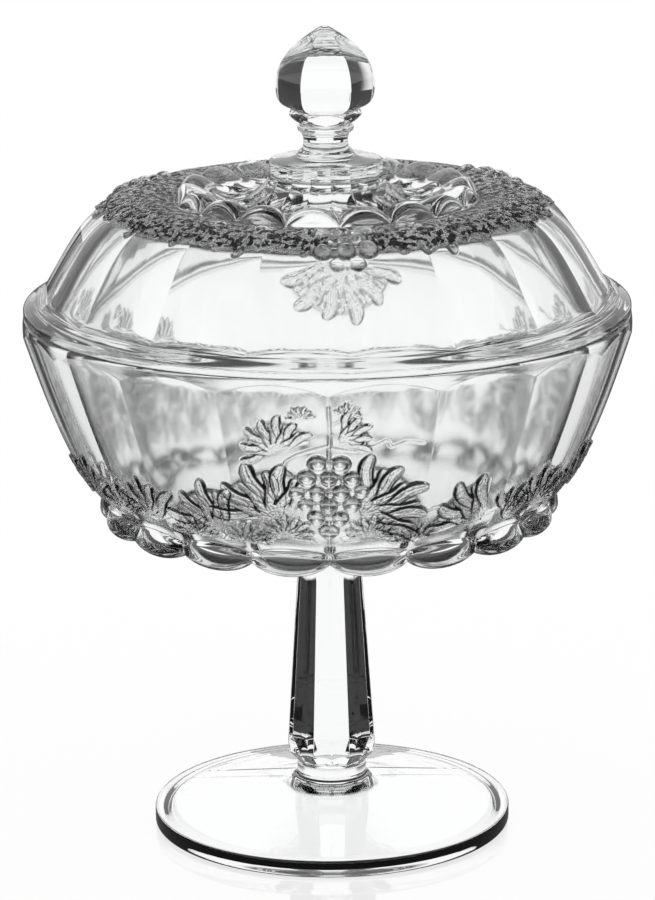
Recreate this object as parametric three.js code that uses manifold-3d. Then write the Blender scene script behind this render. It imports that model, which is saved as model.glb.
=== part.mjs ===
// Covered footed bowl in clear pressed glass: a foot, stem and bowl pressed as one piece, and a
// loose cover with its finial. Millimetres, +Z up, the front of the bowl towards -Y, and the
// origin on the table, in the middle of the foot.

import * as THREE from "three";
import { mergeVertices } from "three/addons/utils/BufferGeometryUtils.js";
import Module from "manifold-3d";

const wasm = await Module();
wasm.setup();

// Driving dimensions.

// The panels that run round the bowl and the cover, in one count so that they line up.
const PANELS = 18;

// Foot: a disc that rises in a shallow cone to a round neck, hollowed underneath to an even
// thickness, so that it stands on a flat ring.
const FOOT_RADIUS = 62.6;
const FOOT_EDGE_HEIGHT = 6.3;
const FOOT_EDGE_ROUND = 1.2;
const FOOT_HEIGHT = 20;
const FOOT_SLOPE = 11;
const NECK_RADIUS = 12.2;
const NECK_FILLET = 2.5;
const RECESS_RADIUS = 59;
const RECESS_BEVEL_WIDTH = 3.6;
const RECESS_BEVEL_HEIGHT = 1.8;
const RECESS_DOME_RADIUS = 18;
const RECESS_DOME_RISE = 0.8;
const RECESS_DOME_FLAT = 11;
const RECESS_DOME_CORNER = 3;

// Stem: a faceted shaft that narrows upwards, undercut above the neck of the foot.
const STEM_SIDES = 8;
const STEM_LENGTH = 77;
const STEM_BOTTOM_FLATS = 30.6;
const STEM_TOP_FLATS = 22.6;
const STEM_UNDERCUT_START = 1.6;
const STEM_UNDERCUT_HEIGHT = 3.8;
const STEM_CROWN_HEIGHT = 8;
const STEM_CROWN_RADIUS = 13.6;

// Bowl: measured from the flat that the stem carries, up to the rim.
const BOWL_HEIGHT = 87.5;
const RIM_RADIUS = 104.2;
const RIM_ROUND = 0.8;
const BAND_FLARE = 0.13;
const BAND_DEPTH = 5.3;
const BOWL_WALL = 4.4;
const FLOOR_HEIGHT = 17;
const FLOOR_CURVE = 49;
const FLOOR_CORNER_CURVE = 8;
const BASE_RADIUS = 76;
const BASE_HEIGHT = 21.3;
const WALL_LEAN_AT_BASE = 54;
const WALL_LEAN_AT_TOP = 17.8;
const WALL_CURVE_AT_BASE = 15;
const WALL_CURVE_AT_TOP = 22;
const UNDERSIDE_CURVE_IN = 8;
const UNDERSIDE_CURVE_OUT = 40;
const UNDERSIDE_SLOPE = 24;

// The ring of rounded lobes under the bowl, one to a panel, which hang between the cusps.
const CUSP_THICKNESS = 3.4;
const LOBE_REACH = 3.6;
const LOBE_HANG = 4.9;
const LOBE_RISE = 2.4;
const LOBE_INSET = 4;
const LOBE_BACK = 10;

// Cover: measured from the rim that it rests on, up to the flat under the finial.
const COVER_TURN = 4.6;
const FLANGE_EDGE = 2.2;
const FLANGE_SHOULDER_WIDTH = 2.7;
const FLANGE_SHOULDER_HEIGHT = 4;
const COVER_HEIGHT = 53.7;
const COVER_WALL = 3.6;
const DOME_FOOT_RADIUS = 96.5;
const DOME_FOOT_HEIGHT = 9.5;
const DOME_LEAN = 30;
const DOME_TOP_RADIUS = 62;
const DOME_TOP_HEIGHT = 39.4;
const DOME_CURVE_AT_FOOT = 22;
const DOME_CURVE_AT_TOP = 18;
const CEILING_HEIGHT = 34.8;
const CEILING_SLOPE = 30;
const LIP_DEPTH = 2.4;
const LIP_WIDTH = 3.4;
const LIP_CLEARANCE = 0.9;

// The scalloped crown on the cover, the trough inside it, and the collar under the finial.
const CROWN_RADIUS = 47.6;
const CROWN_FOOT_WIDTH = 4;
const CROWN_FOOT_HEIGHT = 38;
const CROWN_CUSP_HEIGHT = 40.3;
const CROWN_PEAK_HEIGHT = 44.7;
const TROUGH_RADIUS = 33;
const TROUGH_HEIGHT = 38.9;
const FLUTE_DEPTH = 2.2;
const COLLAR_RADIUS = 19.4;
const COLLAR_BOTTOM = 48.4;
const COLLAR_TOP = 52.4;
const COLLAR_EDGE = 0.8;

// Finial: a round stalk with a ring, a ruff, and a six-sided bud.
const FINIAL_SIDES = 6;
const FINIAL_TURN = -3.6;
const FINIAL_HEIGHT = 44.2;
const STALK_FLARE_RADIUS = 10;
const STALK_RADIUS = 7.5;
const STALK_WAIST_HEIGHT = 4.4;
const STALK_RING_RADIUS = 9.7;
const STALK_RING_HEIGHT = 9.4;
const STALK_RING_THICKNESS = 2.6;
const RUFF_RADIUS = 12.3;
const RUFF_HEIGHT = 14.6;
const BUD_FOOT_RADIUS = 12;
const BUD_FOOT_HEIGHT = 15.8;
const BUD_RADIUS = 16.8;
const BUD_WIDEST_HEIGHT = 23.6;
const BUD_FOOT_SLOPE = 35;
const BUD_SHOULDER = 9;
const BUD_POINT = 12;
const BUD_POINT_SLOPE = 30;
const BUD_TIP_RADIUS = 0.9;
const BUD_FACET_FLATNESS = 0.9;

// Ornament in low relief, the same in each third of the way round: bunches of berries and leaves.
// Each leaf is a fan of fingers: its azimuth and where along the ridges it starts, its length, and
// the headings of its first and last finger, clockwise from straight up. The places along the
// ridges are measured up from the base on the bowl, and down from the top of the dome on the cover.
const THIRDS = 3;
const BOWL_LEAVES = [
  [-9.7, 47.4, 13.5, -110, 60], [-11.2, 20, 24, -85, 40], [-24.8, 13, 21, -75, 20],
  [-43, 12, 18, -60, 40], [2.1, 51.7, 11.5, 15, 115], [7, 21.8, 24, 5, 125],
  [35.8, 13, 22, -90, -10], [54, 13, 17, -55, 55],
];
const COVER_LEAVES = [[-2, 20.6, 22, 110, 250]];
const LEAF_RISE = 1.1;
const LEAF_NOTCH = 0.6;
const LEAF_SHORT_FINGER = 0.85;
const LEAF_FINGER_ANGLE = 34;
const LEAF_DEPTH = 8;
const BOWL_BUNCH_TOP = 42;
const BOWL_BUNCH_ROWS = [2, 3, 4, 3, 2, 1];
const COVER_BUNCH_TOP = 4.6;
const COVER_BUNCH_ROWS = [3, 2, 3, 2];
const BERRY_RADIUS = 3.3;
const BERRY_SINK = 0.8;
const BERRY_SPACING = 7.2;
const BERRY_ROW_PITCH = 5.5;

// The leaves round the top of the cover lie together as one raised sheet with a jagged edge, which
// hangs down this far at its tips and at its notches.
const GARLAND_TIP = 19.6;
const GARLAND_NOTCH = 11.6;
const GARLAND_EDGE = 0.6;

// Fineness of the curved faces.
const ROUND_STEPS = 48;
const PANEL_STEPS = 4;
const CURVE_STEPS = 5;
const LOBE_STEPS = 4;
const FACET_STEPS = 4;
const FLUTE_STEPS = 4;
const RAISED_STEPS = 4;
const EVENNESS = 0.03;

// Heights that follow from the sizes above.
const BOWL_Z = FOOT_HEIGHT + STEM_LENGTH;
const RIM_Z = BOWL_Z + BOWL_HEIGHT;
const FINIAL_Z = RIM_Z + COVER_HEIGHT;

const DEGREE = Math.PI / 180;
const FRONT = -90 * DEGREE;
const PANEL_ANGLE = 2 * Math.PI / PANELS;

const at = (radius, height) => new THREE.Vector2(radius, height);

// A closed mesh as a solid: merged corners, without the slivers that a pole leaves.
function solidOf(geometry) {
  const bare = geometry.clone();
  bare.deleteAttribute("normal");
  bare.deleteAttribute("uv");
  const merged = mergeVertices(bare, 1e-4);
  const corners = merged.index.array;
  const faces = [];
  for (let i = 0; i < corners.length; i += 3) {
    const [a, b, c] = [corners[i], corners[i + 1], corners[i + 2]];
    if (a !== b && b !== c && c !== a) faces.push(a, b, c);
  }
  return new wasm.Manifold(new wasm.Mesh({
    numProp: 3,
    vertProperties: merged.attributes.position.array,
    triVerts: Uint32Array.from(faces),
  }));
}

function geometryOf(solid) {
  const mesh = solid.getMesh();
  const geometry = new THREE.BufferGeometry();
  geometry.setAttribute("position", new THREE.BufferAttribute(mesh.vertProperties, 3));
  geometry.setIndex(new THREE.BufferAttribute(mesh.triVerts, 1));
  return geometry;
}

// A profile of (radius, height) points, from the axis at the bottom to the axis at the top,
// turned about Z.
function revolve(profile) {
  return solidOf(new THREE.LatheGeometry(profile, ROUND_STEPS).rotateX(Math.PI / 2));
}

// One ring of a panelled body. The ridges lie on ridgeRadius; flat 1 joins them with flats, and
// flat 0 with an arc.
function panelRing(ridgeRadius, height, sides, steps, start, flat = 1) {
  const half = Math.PI / sides;
  return Array.from({ length: sides * steps }, (_, i) => {
    const fromMiddle = 2 * half * (i % steps) / steps - half;
    const radius = ridgeRadius * (1 - flat + flat * Math.cos(half) / Math.cos(fromMiddle));
    const angle = start + 2 * half * i / steps;
    return new THREE.Vector3(radius * Math.cos(angle), radius * Math.sin(angle), height);
  });
}

// One ring that swells over each panel: place gives a point for 0, at a ridge, up to 1, in the
// middle of the panel.
function scallopRing(place, flat = 0) {
  return panelRing(1, 0, PANELS, PANEL_STEPS, FRONT, flat).map((way, i) => {
    const across = 2 * (i % PANEL_STEPS) / PANEL_STEPS - 1;
    const point = place(Math.sqrt(1 - across * across));
    return way.multiplyScalar(point.x).setZ(point.y);
  });
}

// A solid through a stack of rings with equal counts, closed by a flat at each end.
function loft(rings) {
  const count = rings[0].length;
  const points = rings.flat();
  const faces = [];
  const index = (row, i) => row * count + i % count;
  for (let row = 0; row + 1 < rings.length; row += 1) {
    for (let i = 0; i < count; i += 1) {
      const [a, b] = [index(row, i), index(row, i + 1)];
      const [c, d] = [index(row + 1, i + 1), index(row + 1, i)];
      faces.push(a, b, c, a, c, d);
    }
  }
  const last = rings.length - 1;
  const middle = (row) => new THREE.Vector3(0, 0, rings[row][0].z);
  const [bottom, top] = [points.push(middle(0)) - 1, points.push(middle(last)) - 1];
  for (let i = 0; i < count; i += 1) {
    faces.push(bottom, index(0, i + 1), index(0, i));
    faces.push(top, index(last, i), index(last, i + 1));
  }
  const geometry = new THREE.BufferGeometry().setFromPoints(points);
  geometry.setIndex(faces);
  return solidOf(geometry);
}

// A curve in the (radius, height) plane that leaves one point and reaches another in the given
// directions, as degrees from level, with the given handles.
function sweep(from, fromAngle, fromHandle, to, toAngle, toHandle) {
  const step = (angle, length) => at(length * Math.cos(angle * DEGREE),
    length * Math.sin(angle * DEGREE));
  return new THREE.CubicBezierCurve(from, from.clone().add(step(fromAngle, fromHandle)),
    to.clone().sub(step(toAngle, toHandle)), to);
}

// Points beside a curve, on its left as it runs, at the given distance, with the radius first
// drawn in to the middle of a panel's flat.
function beside(curve, distance, steps) {
  return Array.from({ length: steps + 1 }, (_, i) => {
    const point = curve.getPoint(i / steps);
    const ahead = curve.getTangent(i / steps);
    return at(point.x * Math.cos(PANEL_ANGLE / 2) - ahead.y * distance,
      point.y + ahead.x * distance);
  });
}

// The panel ridges of the bowl, from the base up to the corners under the band.
const bandRadius = (height) => RIM_RADIUS + BAND_FLARE * (RIM_Z - height);
const wallCorner = at(bandRadius(RIM_Z - BAND_DEPTH), RIM_Z - BAND_DEPTH);
const wallRidge = sweep(
  at(BASE_RADIUS, BOWL_Z + BASE_HEIGHT), 90 - WALL_LEAN_AT_BASE, WALL_CURVE_AT_BASE,
  wallCorner, 90 - WALL_LEAN_AT_TOP, WALL_CURVE_AT_TOP);

// The inner face of the wall, carried on straight to the rim.
const wallInside = beside(wallRidge, BOWL_WALL, CURVE_STEPS);
const insideTop = wallInside[wallInside.length - 1];
const mouthRadius = insideTop.x + (RIM_Z - insideTop.y) * Math.tan(WALL_LEAN_AT_TOP * DEGREE) / 2;

// The place at an azimuth and a distance along a ridge: the point on the flat there, and the ways
// to the right, along the ridge and out of the body.
function placeOn(ridge, azimuth, distance) {
  const share = distance / ridge.getLength();
  const [point, ahead] = [ridge.getPointAt(share), ridge.getTangentAt(share)];
  const inPanel = THREE.MathUtils.euclideanModulo(azimuth * DEGREE, PANEL_ANGLE);
  const radius = point.x * Math.cos(PANEL_ANGLE / 2) / Math.cos(inPanel - PANEL_ANGLE / 2);
  const angle = FRONT + azimuth * DEGREE;
  const [cos, sin] = [Math.cos(angle), Math.sin(angle)];
  return new THREE.Matrix4().makeBasis(
    new THREE.Vector3(-sin, cos, 0),
    new THREE.Vector3(ahead.x * cos, ahead.x * sin, ahead.y),
    new THREE.Vector3(ahead.y * cos, ahead.y * sin, -ahead.x),
  ).setPosition(radius * cos, radius * sin, point.y);
}

// A leaf as a prism that stands through the wall at its place.
function leafPrism(place, length, first, last) {
  const fingers = Math.round((last - first) / LEAF_FINGER_ANGLE);
  const shape = new THREE.Shape();
  for (let i = 0; i <= 2 * fingers; i += 1) {
    const heading = (first + (last - first) * i / (2 * fingers)) * DEGREE;
    const finger = i % 4 === 0 ? 1 : LEAF_SHORT_FINGER;
    const reach = length * (i % 2 === 0 ? finger : LEAF_NOTCH);
    shape.lineTo(reach * Math.sin(heading), reach * Math.cos(heading));
  }
  const prism = new THREE.ExtrudeGeometry(shape, { depth: 2 * LEAF_DEPTH, bevelEnabled: false });
  return solidOf(prism.translate(0, 0, -LEAF_DEPTH).applyMatrix4(place));
}

function makeBunch(ridge, top, rows) {
  return rows.flatMap((count, row) => Array.from({ length: count }, (_, i) => {
    const distance = top - row * BERRY_ROW_PITCH;
    const radius = ridge.getPointAt(distance / ridge.getLength()).x;
    const azimuth = (i - (count - 1) / 2) * BERRY_SPACING / radius / DEGREE;
    return solidOf(new THREE.IcosahedronGeometry(BERRY_RADIUS, 0)
      .translate(0, 0, -BERRY_SINK).applyMatrix4(placeOn(ridge, azimuth, distance)));
  }));
}

// Leaves and a bunch laid on a panelled body with the given ridges, in each third.
function makeOrnament(ridge, leaves, bunch) {
  const raised = loft(Array.from({ length: RAISED_STEPS + 1 }, (_, i) => {
    const [point, ahead] = [ridge.getPoint(i / RAISED_STEPS), ridge.getTangent(i / RAISED_STEPS)];
    return panelRing(point.x + ahead.y * LEAF_RISE, point.y - ahead.x * LEAF_RISE, PANELS, 1, FRONT);
  }));
  const prisms = leaves.map(([azimuth, distance, length, first, last]) =>
    leafPrism(placeOn(ridge, azimuth, distance), length, first, last));
  const third = wasm.Manifold.union([wasm.Manifold.union(prisms).intersect(raised), ...bunch]);
  return wasm.Manifold.union(Array.from({ length: THIRDS }, (_, i) =>
    third.rotate([0, 0, 360 * i / THIRDS])));
}

function makeFoot() {
  const rise = Math.tan(FOOT_SLOPE * DEGREE);
  const edgeTop = at(FOOT_RADIUS - FOOT_EDGE_ROUND, FOOT_EDGE_HEIGHT);
  const filletFoot = at(NECK_RADIUS + NECK_FILLET,
    edgeTop.y + (edgeTop.x - NECK_RADIUS - NECK_FILLET) * rise);
  const fillet = sweep(filletFoot, 180 - FOOT_SLOPE, NECK_FILLET / 2,
    at(NECK_RADIUS, filletFoot.y + NECK_FILLET), 90, NECK_FILLET / 2);
  const bevelTop = at(RECESS_RADIUS - RECESS_BEVEL_WIDTH, RECESS_BEVEL_HEIGHT);
  const domeFoot = at(RECESS_DOME_RADIUS, bevelTop.y + (bevelTop.x - RECESS_DOME_RADIUS) * rise);
  const dome = sweep(at(0, domeFoot.y + RECESS_DOME_RISE), 0, RECESS_DOME_FLAT,
    domeFoot, -FOOT_SLOPE, RECESS_DOME_CORNER);
  return revolve([
    ...dome.getPoints(FACET_STEPS),
    bevelTop,
    at(RECESS_RADIUS, 0),
    at(FOOT_RADIUS - FOOT_EDGE_ROUND, 0),
    at(FOOT_RADIUS, FOOT_EDGE_ROUND),
    at(FOOT_RADIUS, FOOT_EDGE_HEIGHT - FOOT_EDGE_ROUND),
    edgeTop,
    ...fillet.getPoints(FACET_STEPS),
    at(NECK_RADIUS, FOOT_HEIGHT),
    at(0, FOOT_HEIGHT),
  ]);
}

function makeStem() {
  const toRidge = 1 / (2 * Math.cos(Math.PI / STEM_SIDES));
  const start = FRONT + Math.PI / STEM_SIDES;
  const ring = (radius, z, flat) => panelRing(radius, z, STEM_SIDES, FACET_STEPS, start, flat);
  const shaftZ = FOOT_HEIGHT + STEM_UNDERCUT_START + STEM_UNDERCUT_HEIGHT;
  return loft([
    ring(NECK_RADIUS, FOOT_HEIGHT, 0),
    ring(NECK_RADIUS, FOOT_HEIGHT + STEM_UNDERCUT_START, 0),
    ring(STEM_BOTTOM_FLATS * toRidge, shaftZ, 1),
    ring(STEM_TOP_FLATS * toRidge, BOWL_Z - STEM_CROWN_HEIGHT, 1),
    ring(STEM_CROWN_RADIUS, BOWL_Z, 0),
  ]);
}

function makeBowl() {
  const ring = (point, flat) => panelRing(point.x, point.y, PANELS, PANEL_STEPS, FRONT, flat);
  const wall = wallRidge.getPoints(CURVE_STEPS + 2);
  const cuspZ = BOWL_Z + BASE_HEIGHT - CUSP_THICKNESS;
  const underside = sweep(at(STEM_CROWN_RADIUS, BOWL_Z), 90, UNDERSIDE_CURVE_IN,
    at(BASE_RADIUS - LOBE_BACK, cuspZ), UNDERSIDE_SLOPE, UNDERSIDE_CURVE_OUT);

  // A lobe seen in section: an arc from its back, round underneath, to its outermost point.
  const lobeArc = (angle) => scallopRing((swell) => {
    const reach = angle < 270 ? LOBE_BACK - LOBE_INSET : LOBE_INSET + swell * LOBE_REACH;
    return at(BASE_RADIUS - LOBE_INSET + reach * Math.cos(angle * DEGREE),
      cuspZ + swell * LOBE_HANG * Math.sin(angle * DEGREE));
  });
  const lobeSide = scallopRing((swell) =>
    at(BASE_RADIUS + swell * LOBE_REACH, cuspZ + CUSP_THICKNESS / 2));
  const lobeTop = scallopRing((swell) =>
    wall[0].clone().lerp(wall[1], swell * LOBE_RISE / (wall[1].y - wall[0].y)), 1);

  const beyond = at(wallCorner.x + 2 * BAND_DEPTH * Math.tan(WALL_LEAN_AT_TOP * DEGREE),
    wallCorner.y + 2 * BAND_DEPTH);
  const body = loft([
    ...underside.getPoints(CURVE_STEPS).map((point) => ring(point, 0)),
    ...Array.from({ length: LOBE_STEPS }, (_, i) => lobeArc(180 + 180 * (i + 1) / LOBE_STEPS)),
    lobeSide,
    lobeTop,
    ...wall.slice(1).map((point) => ring(point, 1)),
    ring(beyond, 1),
  ]);
  const band = revolve([
    at(0, BOWL_Z),
    at(bandRadius(BOWL_Z), BOWL_Z),
    at(bandRadius(RIM_Z - RIM_ROUND), RIM_Z - RIM_ROUND),
    at(RIM_RADIUS - RIM_ROUND, RIM_Z),
    at(0, RIM_Z),
  ]);
  const floor = sweep(at(0, BOWL_Z + FLOOR_HEIGHT), 0, FLOOR_CURVE, wallInside[0],
    90 - WALL_LEAN_AT_BASE, FLOOR_CORNER_CURVE);
  const inside = revolve([
    ...floor.getPoints(CURVE_STEPS),
    ...wallInside.slice(1),
    at(mouthRadius, RIM_Z),
    at(mouthRadius, RIM_Z + BAND_DEPTH),
    at(0, RIM_Z + BAND_DEPTH),
  ]);
  const ornament = makeOrnament(wallRidge, BOWL_LEAVES,
    makeBunch(wallRidge, BOWL_BUNCH_TOP, BOWL_BUNCH_ROWS));
  return body.add(ornament).intersect(band).subtract(inside).asOriginal().simplify(EVENNESS);
}

function makeCover() {
  const ring = (radius, height, flat) =>
    panelRing(radius, RIM_Z + height, PANELS, PANEL_STEPS, FRONT, flat);
  const shoulderRadius = RIM_RADIUS - FLANGE_SHOULDER_WIDTH;
  const dome = sweep(
    at(DOME_FOOT_RADIUS, RIM_Z + DOME_FOOT_HEIGHT), 90 + DOME_LEAN, DOME_CURVE_AT_FOOT,
    at(DOME_TOP_RADIUS, RIM_Z + DOME_TOP_HEIGHT), 180, DOME_CURVE_AT_TOP);
  const trumpet = sweep(at(TROUGH_RADIUS, TROUGH_HEIGHT), 180,
    (TROUGH_RADIUS - COLLAR_RADIUS) / 2, at(COLLAR_RADIUS, COLLAR_BOTTOM), 90,
    (COLLAR_BOTTOM - TROUGH_HEIGHT) / 2);
  const crownRing = (radius, cuspHeight, peakHeight) => scallopRing((swell) =>
    at(radius, RIM_Z + cuspHeight + swell * (peakHeight - cuspHeight)));
  const onRidge = (point, rise = 0) => ring(point.x, point.y + rise - RIM_Z, 1);
  const upTo = (hang) => dome.getLength() - hang;
  const domePart = (from, to, steps) => Array.from({ length: steps + 1 }, (_, i) =>
    dome.getPointAt((from + (to - from) * i / steps) / dome.getLength()));
  const domeLow = domePart(0, upTo(GARLAND_TIP + GARLAND_EDGE), CURVE_STEPS - 2);
  const domeHigh = domePart(upTo(GARLAND_NOTCH) + 2 * LEAF_RISE, dome.getLength(), 1);
  const garlandEdge = (rise) => panelRing(1, 0, PANELS, PANEL_STEPS, FRONT).map((way, i) => {
    const distance = upTo(i % 2 === 0 ? GARLAND_TIP : GARLAND_NOTCH) + rise / 2;
    const point = dome.getPointAt(distance / dome.getLength());
    return way.multiplyScalar(point.x).setZ(point.y + rise);
  });
  const fluteRing = (point, depth) => scallopRing((swell) =>
    at(point.x - depth * swell / 2, RIM_Z + point.y + depth * (1 / 2 - swell)), 1);
  const solid = loft([
    ring(RIM_RADIUS - RIM_ROUND, 0, 0),
    ring(RIM_RADIUS, RIM_ROUND, 0),
    ring(RIM_RADIUS, FLANGE_EDGE, 0),
    ring(RIM_RADIUS - FLANGE_SHOULDER_WIDTH / 3, (FLANGE_EDGE + FLANGE_SHOULDER_HEIGHT) / 2, 0),
    ring(shoulderRadius, FLANGE_SHOULDER_HEIGHT, 0),
    ring((2 * shoulderRadius + DOME_FOOT_RADIUS) / 3,
      (2 * FLANGE_SHOULDER_HEIGHT + DOME_FOOT_HEIGHT) / 3, 1),
    ...domeLow.map((point) => onRidge(point)),
    garlandEdge(0),
    garlandEdge(LEAF_RISE),
    ...domeHigh.map((point) => onRidge(point, LEAF_RISE)),
    ring(CROWN_RADIUS + 2 * CROWN_FOOT_WIDTH,
      (DOME_TOP_HEIGHT + CROWN_FOOT_HEIGHT) / 2 + LEAF_RISE, 0),
    ring(CROWN_RADIUS + CROWN_FOOT_WIDTH, CROWN_FOOT_HEIGHT, 0),
    crownRing(CROWN_RADIUS + CROWN_FOOT_WIDTH / 2, (CROWN_FOOT_HEIGHT + CROWN_CUSP_HEIGHT) / 2,
      (CROWN_FOOT_HEIGHT + CROWN_PEAK_HEIGHT) / 2),
    crownRing(CROWN_RADIUS, CROWN_CUSP_HEIGHT, CROWN_PEAK_HEIGHT),
    crownRing((CROWN_RADIUS * 2 + TROUGH_RADIUS) / 3, (CROWN_CUSP_HEIGHT + TROUGH_HEIGHT) / 2,
      (CROWN_PEAK_HEIGHT + 2 * TROUGH_HEIGHT) / 3),
    fluteRing(at((CROWN_RADIUS + 2 * TROUGH_RADIUS) / 3, TROUGH_HEIGHT), FLUTE_DEPTH),
    ...trumpet.getPoints(FLUTE_STEPS).map((point, i) =>
      fluteRing(point, FLUTE_DEPTH * (1 - i / FLUTE_STEPS))),
    ring(COLLAR_RADIUS, COLLAR_TOP - COLLAR_EDGE, 1),
    ring(COLLAR_RADIUS - COLLAR_EDGE, COLLAR_TOP, 1),
    ring(STALK_FLARE_RADIUS + COLLAR_EDGE, COVER_HEIGHT, 0),
  ]);
  const lipOuter = mouthRadius - LIP_CLEARANCE;
  const lipInner = lipOuter - LIP_WIDTH;
  const domeInside = beside(dome, COVER_WALL, CURVE_STEPS);
  const hollowTop = domeInside[CURVE_STEPS - 2];
  const ceiling = sweep(hollowTop, 180 - CEILING_SLOPE, COVER_WALL, at(0, RIM_Z + CEILING_HEIGHT), 180,
    TROUGH_RADIUS);
  const hollow = revolve([
    at(0, RIM_Z - BAND_DEPTH),
    at(lipInner, RIM_Z - BAND_DEPTH),
    at(lipInner, RIM_Z + FLANGE_SHOULDER_HEIGHT),
    ...domeInside.slice(0, CURVE_STEPS - 2),
    ...ceiling.getPoints(CURVE_STEPS - 2),
  ]);
  const lip = revolve([
    at(0, RIM_Z - LIP_DEPTH),
    at(lipOuter - LIP_DEPTH / 2, RIM_Z - LIP_DEPTH),
    at(lipOuter, RIM_Z),
    at(lipOuter, RIM_Z + FLANGE_EDGE),
    at(0, RIM_Z + FLANGE_EDGE),
  ]);
  const leaves = COVER_LEAVES.map(([azimuth, hang, ...fan]) => [azimuth, upTo(hang), ...fan]);
  const ornament = makeOrnament(dome, leaves,
    makeBunch(dome, upTo(COVER_BUNCH_TOP), COVER_BUNCH_ROWS));
  return solid.add(lip).add(ornament).subtract(hollow).asOriginal().simplify(EVENNESS);
}

function makeFinial() {
  const start = FRONT + FINIAL_TURN * DEGREE + Math.PI / FINIAL_SIDES;
  const ring = (radius, height, flat = 0) =>
    panelRing(radius, FINIAL_Z + height, FINIAL_SIDES, FACET_STEPS, start, flat);
  const budLow = sweep(at(BUD_FOOT_RADIUS, BUD_FOOT_HEIGHT), BUD_FOOT_SLOPE, BUD_SHOULDER / 2,
    at(BUD_RADIUS, BUD_WIDEST_HEIGHT), 90, BUD_SHOULDER / 2);
  const budHigh = sweep(at(BUD_RADIUS, BUD_WIDEST_HEIGHT), 90, BUD_SHOULDER,
    at(BUD_TIP_RADIUS, FINIAL_HEIGHT), 180 - BUD_POINT_SLOPE, BUD_POINT);
  const bud = [...budLow.getPoints(FACET_STEPS), ...budHigh.getPoints(CURVE_STEPS).slice(1)];
  const ringLow = STALK_RING_HEIGHT - STALK_RING_THICKNESS / 2;
  const ringHigh = STALK_RING_HEIGHT + STALK_RING_THICKNESS / 2;
  return loft([
    ring(STALK_FLARE_RADIUS, 0),
    ring((STALK_FLARE_RADIUS + 2 * STALK_RADIUS) / 3, STALK_WAIST_HEIGHT / 3),
    ring(STALK_RADIUS, STALK_WAIST_HEIGHT),
    ring(STALK_RADIUS + COLLAR_EDGE / 2, ringLow - COLLAR_EDGE / 2),
    ring(STALK_RING_RADIUS, ringLow + COLLAR_EDGE / 2),
    ring(STALK_RING_RADIUS, ringHigh),
    ring(RUFF_RADIUS, RUFF_HEIGHT, 1),
    ring(BUD_FOOT_RADIUS, (RUFF_HEIGHT + BUD_FOOT_HEIGHT) / 2, 1),
    ...bud.map((point) => ring(point.x, point.y, BUD_FACET_FLATNESS)),
  ]);
}

function addPiece(group, name, solid, colour) {
  const glass = new THREE.MeshStandardMaterial({ color: colour, roughness: 0.05, metalness: 0 });
  const piece = new THREE.Mesh(geometryOf(solid), glass);
  piece.name = name;
  group.add(piece);
}

const CLEAR_GLASS = 0xf2f5f5;

const coveredBowl = new THREE.Group();
addPiece(coveredBowl, "foot", makeFoot(), CLEAR_GLASS);
addPiece(coveredBowl, "stem", makeStem(), CLEAR_GLASS);
addPiece(coveredBowl, "bowl", makeBowl(), CLEAR_GLASS);

// The cover lies on the rim slightly turned, as it was set down.
const coverGroup = new THREE.Group();
coverGroup.rotation.z = COVER_TURN * DEGREE;
addPiece(coverGroup, "cover", makeCover(), CLEAR_GLASS);
addPiece(coverGroup, "finial", makeFinial(), CLEAR_GLASS);
coveredBowl.add(coverGroup);

export default coveredBowl;
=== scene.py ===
"""Covered footed bowl in clear pressed glass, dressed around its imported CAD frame.

The footed bowl and its cover are each one closed skin of glass. Lengths are in millimetres where
nothing else is said, angles in degrees, and azimuth 0 is the front, towards -Y.
"""

import math

import bpy
import numpy as np
from mathutils import Matrix


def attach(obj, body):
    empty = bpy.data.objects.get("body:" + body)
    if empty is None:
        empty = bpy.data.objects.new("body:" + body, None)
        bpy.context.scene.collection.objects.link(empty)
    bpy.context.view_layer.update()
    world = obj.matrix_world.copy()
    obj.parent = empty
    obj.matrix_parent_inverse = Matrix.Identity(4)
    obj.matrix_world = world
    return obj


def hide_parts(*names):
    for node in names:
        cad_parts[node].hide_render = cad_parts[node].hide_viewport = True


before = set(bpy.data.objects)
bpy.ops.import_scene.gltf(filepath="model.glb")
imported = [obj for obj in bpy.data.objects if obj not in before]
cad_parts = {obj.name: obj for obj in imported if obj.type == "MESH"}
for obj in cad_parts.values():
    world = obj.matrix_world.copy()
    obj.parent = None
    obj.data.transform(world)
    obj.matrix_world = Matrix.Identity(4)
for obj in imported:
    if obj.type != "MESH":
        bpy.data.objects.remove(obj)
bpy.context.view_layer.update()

MM = 0.001

# Sizes that the skins share with the CAD. Pairs are (radius, height) where nothing else is said.
PANELS = 18
FOOT_RADIUS = 62.6
FOOT_EDGE_HEIGHT = 6.3
FOOT_EDGE_ROUND = 1.2
FOOT_HEIGHT = 20.0
FOOT_SLOPE = 11.0
NECK_RADIUS = 12.2
NECK_FILLET = 2.5
RECESS_RADIUS = 59.0
RECESS_BEVEL = (3.6, 1.8)
RECESS_DOME_RADIUS = 18.0
RECESS_DOME_RISE = 0.8
RECESS_DOME_FLAT = 11.0
RECESS_DOME_CORNER = 3.0
RECESS_DOME_Z = (RECESS_BEVEL[1] + (RECESS_RADIUS - RECESS_BEVEL[0] - RECESS_DOME_RADIUS)
                 * math.tan(math.radians(FOOT_SLOPE)))
STEM_SIDES = 8
STEM_BOTTOM_FLATS = 30.6
STEM_TOP_FLATS = 22.6
STEM_SHAFT_LOW = 25.4
STEM_SHAFT_HIGH = 89.0
STEM_SCALLOP_LOW = 1.5
STEM_SCALLOP_HIGH = 2.5
SCALLOP_END = 0.2
UNDERCUT_Z = FOOT_HEIGHT + 1.6
CROWN_OF_STEM_RADIUS = 13.6
BOWL_Z = 97.0
RIM_Z = 184.5
RIM_RADIUS = 104.2
RIM_ROUND = 0.9
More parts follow.
